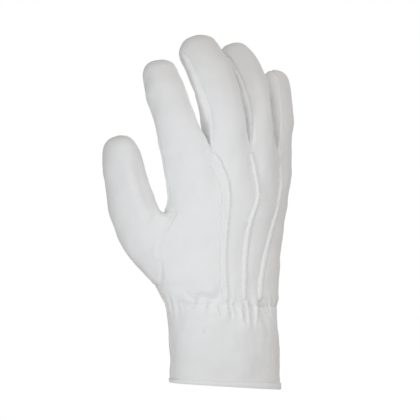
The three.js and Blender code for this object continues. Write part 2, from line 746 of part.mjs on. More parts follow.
const hemOut = hemGap + hemCloth;
const hemProfile = [
  [hemOut, hemHeight],
  [hemOut, 0],
  [-wall - hemOut, 0],
  [-wall - hemOut, hemHeight],
  [-wall - hemGap, hemHeight],
  [-wall - hemGap, hemFloor],
  [hemGap, hemFloor],
  [hemGap, hemHeight],
];
const tallestGather = gatherHeight * unevenness.reduce((sum, wave) => sum + wave.share, 1);
const elasticInset = -wall - tallestGather - elasticPull - seamGap;
const elasticProfile = [
  [elasticInset, elasticWidth / 2],
  [elasticInset, -elasticWidth / 2],
  [elasticInset - elasticThick, -elasticWidth / 2],
  [elasticInset - elasticThick, elasticWidth / 2],
];

// The smooth hand without its gathers, which the elastic follows.
function smoothHand(column, z) {
  const p = handPoint(column, z);
  const [before, after] = [column - 1, column + 1].map((c) =>
    handPoint((c + aroundPalm) % aroundPalm, z),
  );
  const along = after.clone().sub(before).setZ(0).normalize();
  return p.addScaledVector(new THREE.Vector3(along.y, -along.x, 0), -gather(column, z));
}

const jersey = { color: jerseyWhite, roughness: 0.9, metalness: 0 };
const thread = { color: threadWhite, roughness: 0.8, metalness: 0 };
const elastic = { color: elasticWhite, roughness: 0.7, metalness: 0 };

const glove = new THREE.Group();
function addMesh(name, geometry, look) {
  const mesh = new THREE.Mesh(geometry, new THREE.MeshStandardMaterial(look));
  mesh.name = name;
  glove.add(mesh);
}
const pieces = ["hand_back", "hand_palm", "thumb", "fourchette_1", "fourchette_2", "fourchette_3"];
pieces.forEach((piece) => addMesh(piece, wallOf(piece), jersey));
backPoints.forEach((point) => addMesh(point.name, pointTuck(point), jersey));
addMesh("cuff_hem", cuffRing(0, hemProfile, 1, handPoint), thread);
addMesh("wrist_elastic", cuffRing(elasticZ, elasticProfile, 2, smoothHand), elastic);

export default glove;
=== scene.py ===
# A white cotton jersey dress glove, filled out and upright before a white studio ground.
# Lengths in the tables are millimetres and become metres when a mesh is made. +Z runs from the
# cuff to the fingers, the back of the glove faces -Y, the thumb is at -X.
import math

import bpy
import numpy as np
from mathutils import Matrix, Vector, bvhtree, kdtree


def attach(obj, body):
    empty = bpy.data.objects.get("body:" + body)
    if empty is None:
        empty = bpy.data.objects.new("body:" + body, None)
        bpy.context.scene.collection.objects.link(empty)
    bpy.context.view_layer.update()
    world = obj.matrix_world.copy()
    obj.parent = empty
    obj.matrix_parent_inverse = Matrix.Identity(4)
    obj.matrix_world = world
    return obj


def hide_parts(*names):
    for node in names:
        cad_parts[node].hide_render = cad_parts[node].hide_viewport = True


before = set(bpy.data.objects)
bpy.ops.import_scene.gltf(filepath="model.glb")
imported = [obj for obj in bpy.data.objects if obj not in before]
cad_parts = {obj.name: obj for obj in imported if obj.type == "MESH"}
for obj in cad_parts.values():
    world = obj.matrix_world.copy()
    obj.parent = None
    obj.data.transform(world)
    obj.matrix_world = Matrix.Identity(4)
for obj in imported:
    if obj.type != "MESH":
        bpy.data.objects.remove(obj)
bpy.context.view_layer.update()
mm = 0.001

wall = 1.2  # the jersey with its turned seam allowances
fineLevels = 3  # how often the net of quads is subdivided for the outer skin


def tableOf(columns, *rows):
    names = columns.split()
    return [dict(zip(names, row)) for row in rows]


def clamp01(t):
    return min(1.0, max(0.0, t))


def mix(a, b, t):
    return a + (b - a) * t


def smoothStep(t):
    t = np.clip(t, 0, 1)
    return t * t * (3 - 2 * t)


# From 0 at a place to 1 at a length beyond it, and the other way round.
def rampUp(values, place, length):
    return smoothStep((values - place) / length)


def rampDown(values, place, length):
    return smoothStep((place - values) / length)


def unit(v):
    return v / np.maximum(np.linalg.norm(v, axis=-1, keepdims=True), 1e-12)


# How far along a polyline each of its points lies.
def reachAlong(points):
    steps = np.linalg.norm(np.diff(points, axis=0), axis=1)
    return np.concatenate([[0], np.cumsum(steps)])


# A smooth value of every column of a table at one place, by a Catmull-Rom curve that keeps to
# uneven steps.
def smoothRow(table, key, at):
    last = len(table) - 1
    found = next((k for k, row in enumerate(table) if row[key] > at), last)
    i = min(last - 1, max(0, found - 1))
    p, q = table[i], table[i + 1]
    span = q[key] - p[key]
    t = clamp01((at - p[key]) / span)

    def slope(k, column):
        before, after = table[max(0, k - 1)], table[min(last, k + 1)]
        return (after[column] - before[column]) / (after[key] - before[key]) * span

    row = {}
    for column in p:
        rise = q[column] - p[column]
        start, end = slope(i, column), slope(i + 1, column)
        bend = 3 * rise - 2 * start - end + t * (start + end - 2 * rise)
        row[column] = p[column] + t * (start + t * bend)
    return row


# The glove's form, with the same sections as the solids. First how many quads go over the back of
# each finger, and round the side between back and palm.
acrossFinger = [8, 7, 6, 5]
acrossSide = 4
halfSide = acrossSide // 2
edgeColumns = [halfSide + sum(acrossFinger[:k]) for k in range(5)]
sideToSide = edgeColumns[-1] + halfSide
aroundPalm = 2 * sideToSide

bodySections = tableOf(
    "z indexX indexY littleX littleY arch halfDepth",
    (0, -39.8, 0, 39.3, 0, 0, 22.5),
    (25, -40.3, 0, 38.5, 0, 0, 22.5),
    (45, -41.8, 0, 38.0, 1, 1, 21.5),
    (56, -44.3, 1, 38.0, 3, 2, 20),
    (70, -49.5, 4, 40.5, 6, 4, 19),
    (86, -56.0, 7, 43.5, 9, 6, 18),
    (102, -56.0, 8, 46.5, 13, 8, 17),
    (114, -49.0, 6.5, 48.8, 15.5, 9, 16.5),
    (124, -41.0, 5, 50.8, 17.5, 9.5, 16.5),
    (140, -41.0, 5, 54.3, 20, 10, 16.5),
    (164, -45.6, 5, 57.5, 23, 11, 15.5),
)
straightIndexEdge = tableOf("z x", (0, -39.8), (56, -44.3), (124, -41.0), (164, -45.6))
edgeRoundness = 0.72
sidePoints = 91
cuffRings = [1.6, 17, 32, 44, 49.5, 53, 56, 59, 63]
thumbRings = [68, 78, 88, 99, 110, 120.5]
upperRings = [129, 139, 149, 158]
thumbRowStart = len(cuffRings)
thumbRowEnd = thumbRowStart + len(thumbRings) - 1
thumbColumnsBack = 3
thumbColumnsPalm = 5
crotchRow = tableOf(
    "column share z",
    (0, 0, 160),
    (edgeColumns[0], 0.07, 161),
    (edgeColumns[1], 0.305, 165.5),
    (edgeColumns[2], 0.55, 168.5),
    (edgeColumns[3], 0.785, 160.5),
    (edgeColumns[4], 0.94, 155),
    (sideToSide, 1, 153),
)
crotchColumns = edgeColumns[1:-1]
crotchRingZ = 164
crotchDip = 1.2
fanStart, fanLength = 84, 62
swellFirstColumn, swellColumns = 2, 5
valleys = {True: dict(depth=2.6, width=5.5), False: dict(depth=2.1, width=7.2)}  # back, palm
valleyLength = 26
columnPitch = 3.7
farBelow = 200  # a place that no valley below a crotch reaches
hemSlope = 0.072
slopeStart, slopeFade = 20, 80

fingerColumns = "x y z halfWidth halfDepth"
fingerForms = [
    dict(facing=-10, tipLength=12, sections=tableOf(
        fingerColumns,
        (-28.6, 2.5, 163, 16.4, 15.2),
        (-34.0, 3.0, 179, 15.2, 14.4),
        (-38.8, 6.0, 195, 14.4, 13.6),
        (-42.4, 10.5, 209, 13.8, 13.0),
        (-43.6, 13.0, 215.5, 13.2, 12.4),
    )),
    dict(facing=-3, tipLength=13, sections=tableOf(
        fingerColumns,
        (2.0, -4.0, 165, 15.8, 15.4),
        (-0.6, -2.5, 181, 15.9, 15.0),
        (-3.9, 2.5, 201, 15.9, 14.4),
        (-8.8, 10.0, 221, 15.4, 13.6),
        (-13.6, 15.5, 232.5, 14.8, 12.6),
    )),
    dict(facing=14, tipLength=12, sections=tableOf(
        fingerColumns,
        (26.2, 4.0, 164, 13.2, 14.6),
        (26.8, 6.2, 181, 12.7, 13.7),
        (26.2, 13.0, 200, 13.2, 13.6),
        (22.3, 21.0, 218, 13.2, 13.0),
        (17.4, 26.0, 229, 13.0, 12.4),
    )),
    dict(facing=34, tipLength=11, sections=tableOf(
        fingerColumns,
        (47.0, 16.5, 157, 10.7, 12.6),
        (47.9, 20.0, 173, 10.2, 12.0),
        (48.2, 24.2, 189, 10.4, 11.6),
        (49.0, 29.0, 204, 11.0, 11.2),
        (49.8, 32.0, 211, 10.8, 10.8),
    )),
]
tubeRoundness = 0.9
tipFullness = 0.8
ringSpacing = 1.1
fingerRingCount = 7
tipRingAngles = [28, 52, 72]
baseBlend = 34
sideStripAngle, sideStripTip = 42, 32
littleStripLean = 22  # the little finger's inner strip reaches this much further on to its back

thumbSections = tableOf(
    "step outX outY outZ inX inY inZ halfDepth",
    (0, -48, 5, 68, -41, 6, 120, 18),
    (1, -56.4, 13, 78, -42.4, 9, 120, 19.5),
    (2, -64.6, 18, 87.5, -44.8, 9.5, 122.5, 19.5),
    (3, -70.8, 22, 98.5, -48.2, 9.5, 129, 18.4),
    (4, -75.0, 25, 112, -51.4, 9.5, 136.5, 17),
    (5, -77.6, 26.5, 127, -54.4, 9.5, 143, 15.8),
    (6, -79.4, 28, 143, -56.8, 10, 151, 14.8),
    (7, -80.8, 28, 160, -60.2, 12, 163, 13.8),
)
thumbTipLength = 13.5
thumbFirstAngle = 60
thumbBlend = 4.5


# One side of a section of the glove's body, its back or its palm, as points at even angles.
def sectionSide(section, onBack):
    edge = np.array([section["littleX"] - section["indexX"], section["littleY"] - section["indexY"]])
    towardsBack = unit(np.array([edge[1], -edge[0]]))
    angle = np.linspace(0, math.pi, sidePoints)
    share = (1 - np.cos(angle)) / 2
    bulge = np.maximum(np.sin(angle), 0) ** edgeRoundness * section["halfDepth"]
    rise = section["arch"] * 4 * share * (1 - share) + (bulge if onBack else -bulge)
    start = np.array([section["indexX"], section["indexY"]])
    return start + edge * share[:, None] + towardsBack * rise[:, None]


# The point a given share of the way along a polyline.
def alongLine(points, share):
    reach = reachAlong(points)
    at = share * reach[-1]
    return np.array([np.interp(at, reach, points[:, k]) for k in range(points.shape[1])])


# How the columns of quads are spread round the body: evenly at the wrist, by finger at the top,
# and more by the thumb where the body swells towards it.
def columnShare(column, z, section):
    k = max(1, next(k for k, row in enumerate(crotchRow) if row["column"] >= column))
    p, q = crotchRow[k - 1], crotchRow[k]
    t = (column - p["column"]) / (q["column"] - p["column"])
    fan = rampUp(z, fanStart, fanLength)
    share = mix(column / sideToSide, mix(p["share"], q["share"], t), fan)
    straightX = smoothRow(straightIndexEdge, "z", z)["x"]
    breadth = section["littleX"] - section["indexX"]
    swelling = max(0, straightX - section["indexX"]) / breadth
    near = rampUp(column, swellFirstColumn, swellColumns)
    return mix(share, mix(share, 1, swelling), near)


def crotchHeight(column):
    mirrored = column if column <= sideToSide else aroundPalm - column
    return smoothRow(crotchRow, "column", mirrored)["z"]


# A point of the net round the cuff and body. The column runs from the index finger's outer edge
# over the back to the little finger's, and on round the palm.
def bodyPoint(column, z, belowCrotch=farBelow):
    onBack = column <= sideToSide
    mirrored = column if onBack else aroundPalm - column
    section = smoothRow(bodySections, "z", z)
    flat = alongLine(sectionSide(section, onBack), columnShare(mirrored, z, section))
    edges = [section["indexX"] + section["littleX"], section["indexY"] + section["littleY"]]
    centre = np.array(edges) / 2
    halfBreadth = (section["littleX"] - section["indexX"]) / 2
    outward = unit((flat - centre) / np.array([halfBreadth, section["halfDepth"]]))
    valley = valleys[onBack]
    for crotch in crotchColumns:
        across = (mirrored - crotch) * columnPitch / valley["width"]
        sunk = valley["depth"] * math.exp(-across**2 - (belowCrotch / valleyLength) ** 2)
        flat = flat - outward * sunk
    slope = -hemSlope * flat[0] * (1 - smoothStep((z - slopeStart) / slopeFade))
    return np.array([flat[0], flat[1], z + slope])


def crossSection(centre, across, along, halfWidth, halfDepth):
    back = unit(np.cross(across, along))
    axis = unit(np.cross(back, across))
    return dict(
        centre=centre, across=across, back=back, axis=axis, halfWidth=halfWidth, halfDepth=halfDepth)


def fingerSection(form, z):
    step = 0.5
    row, low, high = [smoothRow(form["sections"], "z", at) for at in (z, z - step, z + step)]
    along = unit(np.array([high[k] - low[k] for k in "xyz"]))
    turn = math.radians(form["facing"])
    across = np.array([math.cos(turn), math.sin(turn), 0])
    across = unit(across - along * across.dot(along))
    centre = np.array([row[k] for k in "xyz"])
    return crossSection(centre, across, along, row["halfWidth"], row["halfDepth"])


def thumbSection(step):
    def edgesAt(at):
        row = smoothRow(thumbSections, "step", at)
        outer = np.array([row["outX"], row["outY"], row["outZ"]])
        inner = np.array([row["inX"], row["inY"], row["inZ"]])
        return row, outer, inner

    row, outer, inner = edgesAt(step)
    nearby = 0.25
    ahead, behind = [sum(edgesAt(step + k)[1:]) / 2 for k in (nearby, -nearby)]
    centre = (outer + inner) / 2
    halfWidth = np.linalg.norm(inner - outer) / 2
    along = unit(ahead - behind)
    return crossSection(centre, unit(inner - outer), along, halfWidth, row["halfDepth"])


# One point round a section. Angle 0 is the little finger's side and 90 the back.
def roundPoint(section, angle, scale, forward):
    c, s = math.cos(math.radians(angle)), math.sin(math.radians(angle))
    wide = math.copysign(abs(c) ** tubeRoundness, c) * section["halfWidth"] * scale
    deep = math.copysign(abs(s) ** tubeRoundness, s) * section["halfDepth"] * scale
    flat = section["centre"] + section["across"] * wide + section["back"] * deep
    return flat + section["axis"] * forward


# The net of quads, each with the sewn piece that it belongs to, and the solid that each piece
# replaces.
nodeOf = dict(
    back_panel="hand_back", palm_panel="hand_palm", thumb_panel="thumb",
    finger_strip_1="fourchette_1", finger_strip_2="fourchette_2", finger_strip_3="fourchette_3")
pieceNames = list(nodeOf)
netPoints = []
netFaces = []
netPieces = []


def addPoint(p):
    netPoints.append(np.asarray(p, float))
    return len(netPoints) - 1


def addFace(piece, corners):
    netFaces.append([c for k, c in enumerate(corners) if c not in corners[:k]])
    netPieces.append(pieceNames.index(piece))


# A closed band of quads between two rings. A quad goes to one piece, or is cut along a diagonal
# between the piece above the cut and the piece below it.
def addBand(lower, upper, pieceOf):
    count = len(lower)
    for k in range(count):
        n = (k + 1) % count
        found = pieceOf(k)
        if found is None:
            continue
        above, below, cut = (list(found) + [None, None])[:3]
        if below is None:
            addFace(above, [lower[k], lower[n], upper[n], upper[k]])
        elif cut == "rising":
            addFace(above, [lower[k], upper[n], upper[k]])
            addFace(below, [lower[k], lower[n], upper[n]])
        else:
            addFace(above, [upper[k], lower[n], upper[n]])
            addFace(below, [lower[k], lower[n], upper[k]])


# A tube from a ring of net points to its tip.
def addTube(sectionAt, places, anglesAt, blend, tipLength, firstRing, pieceOf):
    base = sectionAt(places[0])
    start = []
    for i in firstRing:
        offset = netPoints[i] - base["centre"]
        wide = offset.dot(base["across"]) / base["halfWidth"]
        deep = offset.dot(base["back"]) / base["halfDepth"]
        start.append((wide, deep, offset.dot(base["axis"])))
    rings = [firstRing]
    for place in places[1:]:
        section = sectionAt(place)
        share = rampUp(place, places[0], blend)
        ring = []
        for angle, (wide, deep, forward) in zip(anglesAt(place), start):
            carried = section["centre"] + section["across"] * wide * section["halfWidth"]
            carried = carried + section["back"] * deep * section["halfDepth"] + section["axis"] * forward
            ring.append(addPoint(mix(carried, roundPoint(section, angle, 1, 0), share)))
        rings.append(ring)
    end = sectionAt(places[-1])
    for tipAngle in tipRingAngles:
        scale = math.cos(math.radians(tipAngle)) ** tipFullness
        forward = tipLength * math.sin(math.radians(tipAngle))
        rings.append([addPoint(roundPoint(end, a, scale, forward)) for a in anglesAt(places[-1])])
    tip = addPoint(end["centre"] + end["axis"] * tipLength)
    rings.append([tip] * len(firstRing))
    for row in range(len(rings) - 1):
        addBand(rings[row], rings[row + 1], lambda k: pieceOf(k, row))


def buildBody():
    rings = []
    for z in cuffRings + thumbRings + upperRings + [crotchRingZ]:
        ring = []
        for column in range(aroundPalm):
            top = crotchHeight(column)
            share = clamp01((z - thumbRings[-1]) / (crotchRingZ - thumbRings[-1]))
            height = mix(thumbRings[-1], top, share) if z > thumbRings[-1] else z
            ring.append(addPoint(bodyPoint(column, height, top - height)))
        rings.append(ring)

    def pieceAt(row, column):
        inHole = column < thumbColumnsBack or column >= aroundPalm - thumbColumnsPalm
        if thumbRowStart <= row < thumbRowEnd and inHole:
            return None
        return ["back_panel" if column < sideToSide else "palm_panel"]

    for row in range(len(rings) - 1):
        addBand(rings[row], rings[row + 1], lambda k: pieceAt(row, k))
    return rings


def buildCrotches(ring):
    lines = []
    for column in crotchColumns:
        back, palm = ring[column], ring[aroundPalm - column]
        middle = []
        for k in range(1, acrossSide):
            t = k / acrossSide
            point = mix(netPoints[back], netPoints[palm], t)
            point[2] -= crotchDip * math.sin(math.pi * t)
            middle.append(addPoint(point))
        lines.append([back, *middle, palm])
    return lines


# Where the points of a finger's ring lie: over its back, down its right side, over its palm and up
# its left side, whose strip may lean on to the back.
def ringAngles(across, strip, lean):
    def run(start, end, count):
        return [mix(start, end, k / count) for k in range(count)]

    back = run(180 - strip - lean, strip, across) + run(strip, -strip, acrossSide)
    return back + run(-strip, strip - 180, across) + run(strip - 180, -180 - strip - lean, acrossSide)


def buildFinger(finger, ring, lines):
    form = fingerForms[finger]
    across = acrossFinger[finger]
    first, last = edgeColumns[finger], edgeColumns[finger + 1]
    outerIndex, outerLittle = finger == 0, finger == len(fingerForms) - 1

    def run(start, count):
        return [ring[(start + k) % aroundPalm] for k in range(count)]

    right = run(last, acrossSide) if outerLittle else lines[finger][:-1]
    left = run(-halfSide, acrossSide) if outerIndex else lines[finger - 1][::-1][:-1]
    firstRing = run(first, across) + right + run(aroundPalm - last, across) + left
    low, high = form["sections"][0]["z"], form["sections"][-1]["z"]
    places = [mix(low, high, (k / fingerRingCount) ** ringSpacing) for k in range(fingerRingCount + 1)]

    def anglesAt(z):
        strip = mix(sideStripAngle, sideStripTip, clamp01((z - low) / (high - low)))
        return ringAngles(across, strip, littleStripLean if outerLittle else 0)

    def pieceOf(k, row):
        rightEnd = across + acrossSide
        palmEnd = rightEnd + across
        if k < across:
            return ["back_panel"]
        if rightEnd <= k < palmEnd:
            return ["palm_panel"]
        onRight = k < rightEnd
        along = k - across if onRight else k - palmEnd
        trank = "back_panel" if onRight == (along < halfSide) else "palm_panel"
        taperRow = row - fingerRingCount
        if (onRight and outerLittle) or (not onRight and outerIndex) or taperRow >= halfSide:
            return [trank]
        strip = f"finger_strip_{finger + 1 if onRight else finger}"
        fromEdge = along if along < halfSide else acrossSide - 1 - along
        if fromEdge == taperRow:
            return [trank, strip, "rising" if along < halfSide else "falling"]
        return [trank if fromEdge < taperRow else strip]

    def sectionAt(z):
        return fingerSection(form, z)

    addTube(sectionAt, places, anglesAt, baseBlend, form["tipLength"], firstRing, pieceOf)


# The thumb, set into its hole. Its ring goes round by way of the palm.
def buildThumb(rings):
    def at(row, column):
        return rings[row][column % aroundPalm]

    columns = thumbColumnsBack + thumbColumnsPalm
    loop = [at(thumbRowEnd, thumbColumnsBack - k) for k in range(columns)]
    loop += [at(k, -thumbColumnsPalm) for k in range(thumbRowEnd, thumbRowStart, -1)]
    loop += [at(thumbRowStart, k - thumbColumnsPalm) for k in range(columns)]
    loop += [at(k, thumbColumnsBack) for k in range(thumbRowStart, thumbRowEnd)]
    angles = [thumbFirstAngle - 360 * k / len(loop) for k in range(len(loop))]
    places = [row["step"] for row in thumbSections]
    addTube(
        thumbSection, places, lambda step: angles, thumbBlend, thumbTipLength, loop,
        lambda k, row: ["thumb_panel"])


# One Catmull-Clark step over faces given as flat runs of corners. Old points keep their indexes,
# then come the edge points and the face points. The edge keys find an edge's point again.
def subdivide(points, corners, sizes, pieces):
    count = len(points)
    faceOf = np.repeat(np.arange(len(sizes)), sizes)
    starts = np.concatenate([[0], np.cumsum(sizes)[:-1]])
    place = np.arange(len(corners))
    inFace = place - starts[faceOf]
    ahead = starts[faceOf] + (inFace + 1) % sizes[faceOf]
    behind = starts[faceOf] + (inFace - 1) % sizes[faceOf]
    ends = np.sort(np.stack([corners, corners[ahead]], 1), axis=1)
    edgeKeys, edgeOf = np.unique(ends[:, 0] * count + ends[:, 1], return_inverse=True)
    a, b = edgeKeys // count, edgeKeys % count

    def summed(index, values, size):
        return np.stack([np.bincount(index, values[:, k], size) for k in range(3)], 1)

    facePoints = summed(faceOf, points[corners], len(sizes)) / sizes[:, None]
    edgeFaces = np.bincount(edgeOf, minlength=len(edgeKeys))
    middles = (points[a] + points[b]) / 2
    faceMeans = summed(edgeOf, facePoints[faceOf], len(edgeKeys)) / edgeFaces[:, None]
    border = edgeFaces == 1
    edgePoints = np.where(border[:, None], middles, (middles + faceMeans) / 2)

    valence = np.bincount(corners, minlength=count)[:, None]
    meanFace = summed(corners, facePoints[faceOf], count) / np.maximum(valence, 1)
    edgeCount = np.bincount(np.concatenate([a, b]), minlength=count)[:, None]
    meanEdge = summed(np.concatenate([a, b]), np.tile(middles, (2, 1)), count) / np.maximum(edgeCount, 1)
    moved = (meanFace + 2 * meanEdge + (valence - 3) * points) / np.maximum(valence, 1)
    onBorder = np.concatenate([a[border], b[border]])
    borderMeans = summed(onBorder, np.tile(middles[border], (2, 1)), count) / 2
    atBorder = np.bincount(onBorder, minlength=count)[:, None] > 0
    moved = np.where(atBorder, (points + borderMeans) / 2, moved)

    quads = np.stack([corners, count + edgeOf, count + len(edgeKeys) + faceOf, count + edgeOf[behind]], 1)
    return np.concatenate([moved, edgePoints, facePoints]), quads, pieces[faceOf], (edgeKeys, count)


def vertexNormals(points, quads):
    across = points[quads[:, 2]] - points[quads[:, 0]]
    faceNormals = unit(np.cross(across, points[quads[:, 3]] - points[quads[:, 1]]))
    sums = np.zeros_like(points)
    for k in range(4):
        np.add.at(sums, quads[:, k], faceNormals)
    return unit(sums)


print("net of the glove")
bodyRings = buildBody()
crotchLines = buildCrotches(bodyRings[-1])
for finger in range(len(fingerForms)):
    buildFinger(finger, bodyRings[-1], crotchLines)
buildThumb(bodyRings)

skin = np.array(netPoints)
quads = np.concatenate(netFaces)
sizes = np.array([len(face) for face in netFaces])
pieces = np.array(netPieces)
for level in range(fineLevels):
    coarseQuads = quads.reshape(-1, 4) if level else None
    coarsePieces = pieces
    skin, quads, pieces, edgeIndex = subdivide(skin, quads.ravel(), sizes, pieces)
    sizes = np.full(len(quads), 4)
coarseCount = edgeIndex[1]
print("skin", len(skin), "points")


# The surface's fine form: seams, gathers, folds and the soft unevenness of worn jersey, each as a
# lift in millimetres along the skin's normals.
normals = vertexNormals(skin, quads)


def hill(distance, width):
    return np.exp(-((distance / width) ** 2))


# A groove where two pieces are sewn and turned, with a low lip on both sides and small puckers.
seamForm = dict(
    groove=0.5, grooveWidth=0.9, lip=0.2, lipAt=2.0, lipWidth=0.9, pucker=0.09, puckerWidth=2.2,
    puckerLength=3.1, puckerWay=(0.6, 0.8, 1.0))
lowest = np.full(len(skin), len(pieceNames))
highest = np.full(len(skin), -1)
for corner in range(4):
    np.minimum.at(lowest, quads[:, corner], pieces)
    np.maximum.at(highest, quads[:, corner], pieces)
seamPoints = skin[lowest != highest]
seamTree = kdtree.KDTree(len(seamPoints))
for k, point in enumerate(seamPoints):
    seamTree.insert(point, k)
seamTree.balance()
fromSeam = np.array([seamTree.find(point)[2] for point in skin])


# On the back, the seam of the thumb lies almost flat, and those of the fingers are shallower.
# Each place comes with the length over which the share changes.
flatSeams = dict(
    byThumb=0.85, onFingers=0.35, turn=0.35, backY=(10, 6), thumbX=(-42, 4), thumbZ=(135, 6),
    fingersZ=(165, 8))


def seamShare():
    x, y, z = skin.T
    onBack = smoothStep(-normals[:, 1] / flatSeams["turn"]) * rampDown(y, *flatSeams["backY"])
    byThumb = rampDown(x, *flatSeams["thumbX"]) * rampDown(z, *flatSeams["thumbZ"])
    onFingers = rampUp(z, *flatSeams["fingersZ"])
    return 1 - onBack * (flatSeams["byThumb"] * byThumb + flatSeams["onFingers"] * onFingers)


def seamLift():
    phase = skin @ np.array(seamForm["puckerWay"]) * (2 * math.pi / seamForm["puckerLength"])
    lift = seamForm["lip"] * hill(fromSeam - seamForm["lipAt"], seamForm["lipWidth"])
    lift -= seamForm["groove"] * hill(fromSeam, seamForm["grooveWidth"])
    lift += seamForm["pucker"] * np.sin(phase) * hill(fromSeam, seamForm["puckerWidth"])
    return lift * seamShare()


# Gathers that the elastic pulls into the wrist: small puckers in its own line, and folds that
# run out of it, longer below than above. A length is from crest to crest.
elasticZ = 56
elasticSlope = 0.0414
gathers = tableOf(
    "length wander height reachUp reachDown",
    (3.9, 1.3, 0.34, 2.6, 2.8),
    (6.7, 1.7, 0.55, 4.5, 8.0),
    (13.0, 1.2, 0.42, 7.0, 17.0),
)
gatherPull = tableOf("depth reach", (0.4, 5.5), (0.4, 1.1))
gatherBulge = dict(height=0.5, above=6.5, reach=3.5)
gatherUneven = dict(wanderWaves=5, heightWaves=7, start=2, height=0.75, swing=0.35)
deepest = -1.75  # the elastic itself lies behind this


# How far round the wrist each point lies, as a length along an oval of the cuff's size.
def aroundWrist(points):
    halfWide, halfDeep = 41, 21
    angle = np.radians(np.arange(-180, 181))
    oval = np.stack([halfWide * np.cos(angle), halfDeep * np.sin(angle)], 1)
    reach = reachAlong(oval)
    found = np.arctan2(points[:, 1] / halfDeep, points[:, 0] / halfWide)
    return np.interp(found, angle, reach), reach[-1]


def gatherLift():
    above = skin[:, 2] - (elasticZ - elasticSlope * skin[:, 0])
    along, whole = aroundWrist(skin)
    turn = 2 * math.pi * along / whole
    lift = gatherBulge["height"] * hill(above - gatherBulge["above"], gatherBulge["reach"])
    for pull in gatherPull:
        lift -= pull["depth"] * hill(above, pull["reach"])
    for row in gathers:
        count = round(whole / row["length"])
        wander = row["wander"] * np.sin(gatherUneven["wanderWaves"] * turn + count)
        waves = np.sin(count * turn + wander)
        swing = np.sin(gatherUneven["heightWaves"] * turn + gatherUneven["start"] + count)
        uneven = gatherUneven["height"] + gatherUneven["swing"] * swing
        reach = np.where(above > 0, row["reachUp"], row["reachDown"])
        lift += row["height"] * waves * uneven * hill(above, reach)
    return np.maximum(lift, deepest)


# Single folds. Each is a stroke over the back or the palm, seen from that side as x and z. A
# positive height is a ridge and a negative one a groove.
backStrokes = tableOf(
    "width height route",
    (1.3, -1.7, [(-36, 66.5), (-29, 62.8), (-21.5, 58)]),
    (2.6, 1.1, [(-39, 62.5), (-32, 59.5), (-25, 56)]),
    (2.0, -1.7, [(-29, 64), (-19, 62), (-9, 61)]),
    (3.0, 0.9, [(-31, 69), (-20, 67.5), (-10, 66.5)]),
    (1.0, -1.4, [(-3.5, 57), (-3.2, 46)]),
    (1.3, 1.0, [(4, 57), (4.2, 45)]),
    (1.0, -1.4, [(7.3, 59), (7.6, 41)]),
    (1.0, -1.3, [(13.7, 58), (12.6, 39)]),
    (1.2, 1.0, [(16.8, 57), (15.6, 43)]),
    (1.3, -1.3, [(19, 57), (24, 52.5), (29, 47)]),
    (1.3, 0.9, [(-17, 58), (-14, 54), (-12, 48)]),
    (0.9, 0.8, [(-22.5, 44), (-23.6, 35.5)]),
    (1.0, 0.7, [(-14, 52.5), (-17, 49)]),
    (2.4, -1.4, [(-47.5, 124), (-52, 118.5), (-57, 110)]),
    (1.5, 0.7, [(-51.5, 103), (-53.8, 93), (-51.5, 86.5)]),
    (0.9, -1.3, [(-49.3, 88), (-48.6, 66)]),
    (1.2, 1.1, [(-18.5, 164), (-10, 160)]),
    (9.0, 1.4, [(-37, 180), (-29, 152), (-17, 122)]),
    (9.0, 1.3, [(6, 60), (7, -12)]),
    (3.2, -1.6, [(-19.5, 208), (-15.5, 190), (-13.5, 176), (-13, 166)]),
    (5.0, 1.3, [(-73, 163), (-70, 147), (-65, 130), (-60, 108)]),
    (4.0, -1.7, [(-64, 165), (-61.5, 147), (-55.5, 130), (-50, 112)]),
)
# Grooves that part two fingers, on the sides that face each other.
partingStrokes = tableOf(
    "width height route",
    (4.6, -0.9, [(-21, 200), (-17.5, 184), (-15, 170)]),
    (3.8, -2.1, [(38.5, 214), (39, 196), (39.3, 180), (39.8, 160)]),
)
palmStrokes = tableOf(
    "width height route",
    (2.6, -0.9, [(-40, 122), (-20, 118), (-6, 104), (-4, 84)]),
    (2.2, -0.7, [(-30, 140), (0, 132), (26, 134), (48, 142)]),
    (2.4, 0.6, [(-24, 128), (2, 122), (28, 124)]),
    (2.0, -0.6, [(20, 66), (28, 84), (30, 104)]),
    (2.4, 0.5, [(-20, 70), (-24, 88), (-32, 104)]),
)


# How high a stroke lifts each place, with its two ends faded out over a share of its length.
def strokeLift(places, route, width, height, endFade=0.3):
    route = np.array(route, float)
    lengths = np.linalg.norm(np.diff(route, axis=0), axis=1)
    nearest = np.full(len(places), np.inf)
    along = np.zeros(len(places))
    for k, length in enumerate(lengths):
        way = (route[k + 1] - route[k]) / length
        t = np.clip((places - route[k]) @ way, 0, length)
        distance = np.linalg.norm(places - route[k] - t[:, None] * way, axis=1)
        closer = distance < nearest
        nearest[closer] = distance[closer]
        along[closer] = (lengths[:k].sum() + t)[closer]
    share = along / lengths.sum()
    return height * hill(nearest, width) * smoothStep(np.minimum(share, 1 - share) / endFade)


# A smooth route through a few places.
def smoothRoute(route, steps):
    route = np.array(route, float)
    bare = np.concatenate([[2 * route[0] - route[1]], route, [2 * route[-1] - route[-2]]])
    found = []
    for k in range(1, len(bare) - 2):
        for t in np.linspace(0, 1, steps, endpoint=False):
            a, b, c, d = bare[k - 1:k + 3]
            cubic = 2 * b + (c - a) * t + (2 * a - 5 * b + 4 * c - d) * t**2
            found.append((cubic + (3 * b - a - 3 * c + d) * t**3) / 2)
    found = np.array(found + [route[-1]])
    return found, reachAlong(found)


